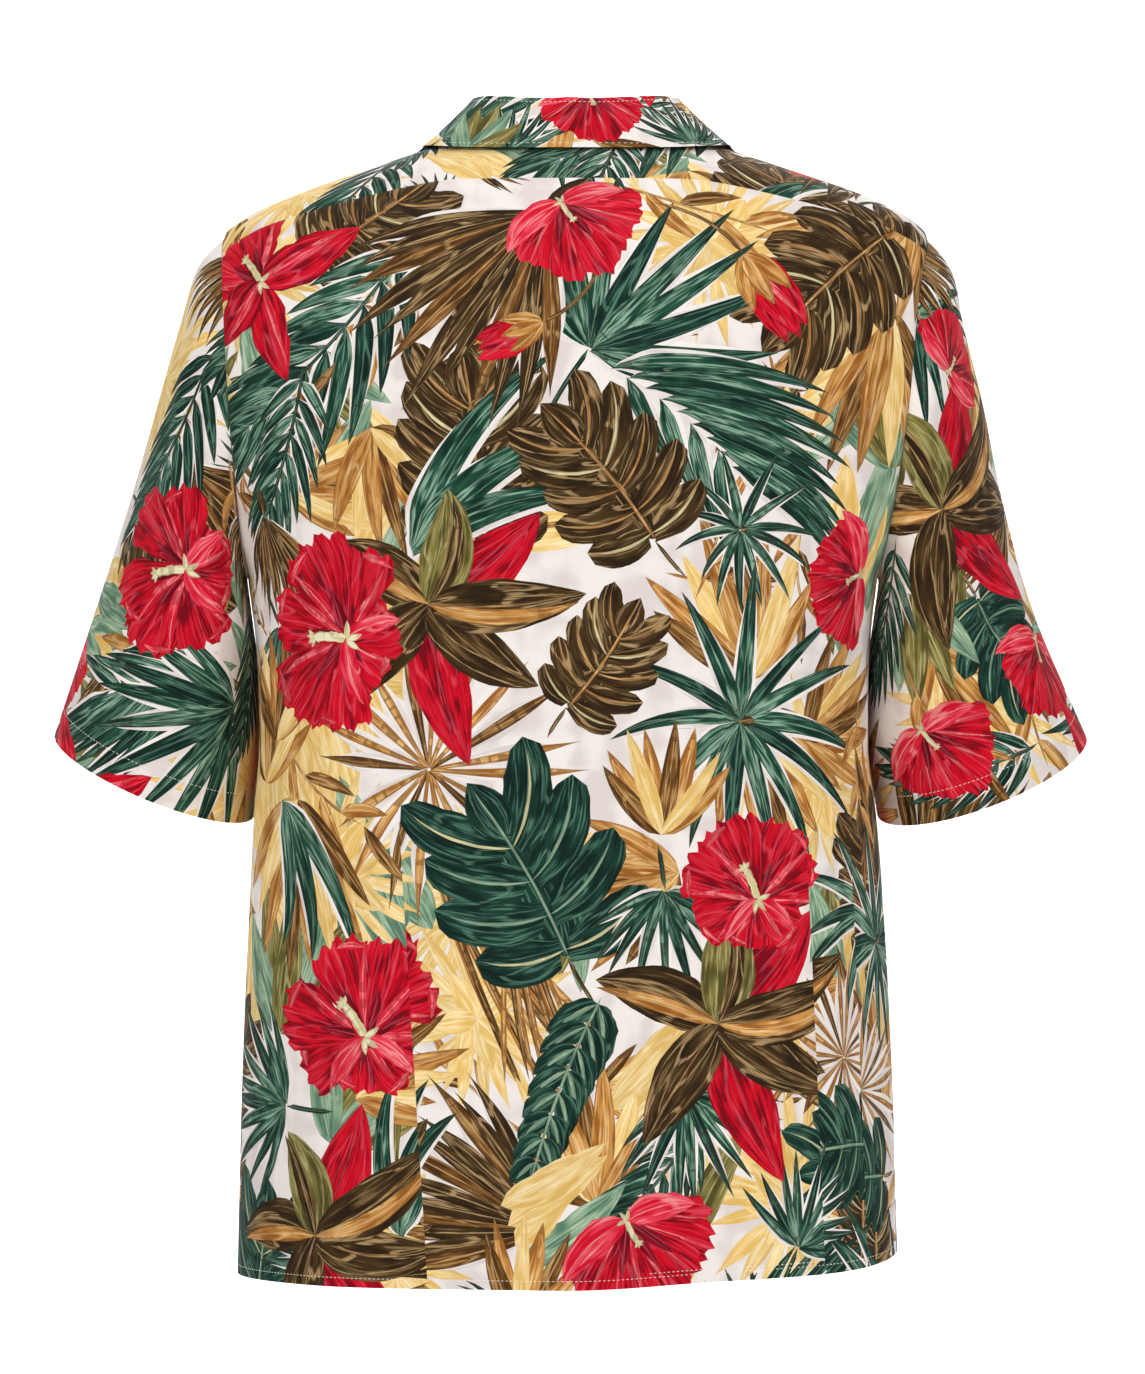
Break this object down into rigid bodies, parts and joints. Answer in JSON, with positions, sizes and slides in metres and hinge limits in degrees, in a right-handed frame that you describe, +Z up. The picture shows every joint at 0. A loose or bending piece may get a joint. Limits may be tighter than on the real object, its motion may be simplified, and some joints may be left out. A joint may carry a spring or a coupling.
{
  "type": "hawaiian shirt",
  "caption": "Short-sleeved printed aloha shirt with a turned-down collar, a narrow yoke and a buttoned front, hollow and open as if worn.",
  "frame": {"origin": "middle of the neck, level with the neck ends of the shoulders, where the wearer's shoulders hold the shirt up", "axes": "+Z up, +Y the way the wearer faces, +X towards the wearer's right"},
  "size_m": [0.6931, 0.283, 0.7812],
  "materials": {
    "printed_cloth": "plain-woven light cloth, printed with leaves and flowers, faint sheen",
    "button": "polished, coconut brown"
  },
  "bodies": {
    "root": {"back_panel": "printed_cloth", "yoke": "printed_cloth", "left_front": "printed_cloth", "right_front": "printed_cloth", "left_sleeve": "printed_cloth", "right_sleeve": "printed_cloth", "collar": "printed_cloth", "button_1": "button", "button_2": "button", "button_3": "button", "button_4": "button", "button_5": "button", "button_6": "button"}
  },
  "joints": []
}
